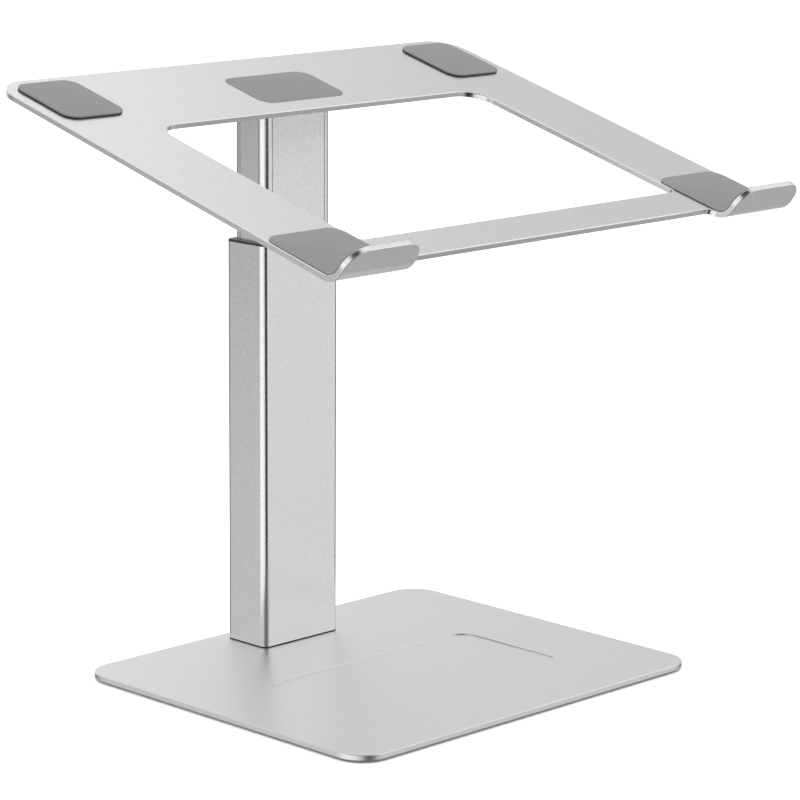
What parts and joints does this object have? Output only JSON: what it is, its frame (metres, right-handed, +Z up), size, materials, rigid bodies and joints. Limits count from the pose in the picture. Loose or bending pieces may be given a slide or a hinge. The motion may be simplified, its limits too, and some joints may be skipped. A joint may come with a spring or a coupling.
{
  "type": "laptop stand",
  "caption": "Laptop stand: steel base plate, telescoping rectangular column and a tilting sheet platform with a window, grip pads and front hooks.",
  "frame": {"origin": "middle of the base plate, on the desk: the underside of the anti-slip mat", "axes": "+Z up, +X to the user's right, +Y to the back, away from the user"},
  "size_m": [0.316, 0.253, 0.3046],
  "materials": {
    "silver_aluminium": "bead-blasted, clear anodised, fine satin grain",
    "silver_steel": "silver powder coat, fine satin grain",
    "cast_aluminium": "as cast, matt",
    "black_steel": "black e-coat, satin",
    "bright_steel": "ground",
    "zinc_steel": "zinc plated",
    "black_plastic": "moulded acetal, matt",
    "black_rubber": "matt, fine texture",
    "grey_silicone": "matt silicone"
  },
  "bodies": {
    "root": {"base_plate": "silver_steel", "base_mat": "black_rubber", "base_screws": "zinc_steel", "column_gasket": "black_rubber", "outer_column": "silver_aluminium", "column_foot": "cast_aluminium", "foot_screws": "zinc_steel", "guide_collar": "black_plastic", "gas_spring_rod": "bright_steel", "gas_spring_piston": "black_plastic"},
    "slider": {"inner_column": "silver_aluminium", "guide_shoe": "black_plastic", "column_head": "cast_aluminium", "head_screws": "zinc_steel", "gas_spring_cylinder": "black_steel", "gas_spring_guide": "black_plastic", "hinge_pin": "zinc_steel", "friction_washers": "bright_steel", "disc_springs": "bright_steel", "hinge_nut": "zinc_steel"},
    "platform_body": {"platform": "silver_aluminium", "tilt_bracket": "black_steel", "platform_screws": "zinc_steel", "center_pad": "grey_silicone", "rear_left_pad": "grey_silicone", "rear_right_pad": "grey_silicone", "front_left_pad": "grey_silicone", "front_right_pad": "grey_silicone"}
  },
  "joints": [
    {"name": "height_slide", "type": "slide", "parent": "root", "child": "slider", "axis": [0, 0, 1], "range_m": [-0.055, 0.055]},
    {"name": "platform_tilt", "type": "hinge", "parent": "slider", "child": "platform_body", "pos_m": [0, 0.0805, 0.2802], "axis": [1, 0, 0], "range_deg": [-15.36, 16.64]}
  ]
}
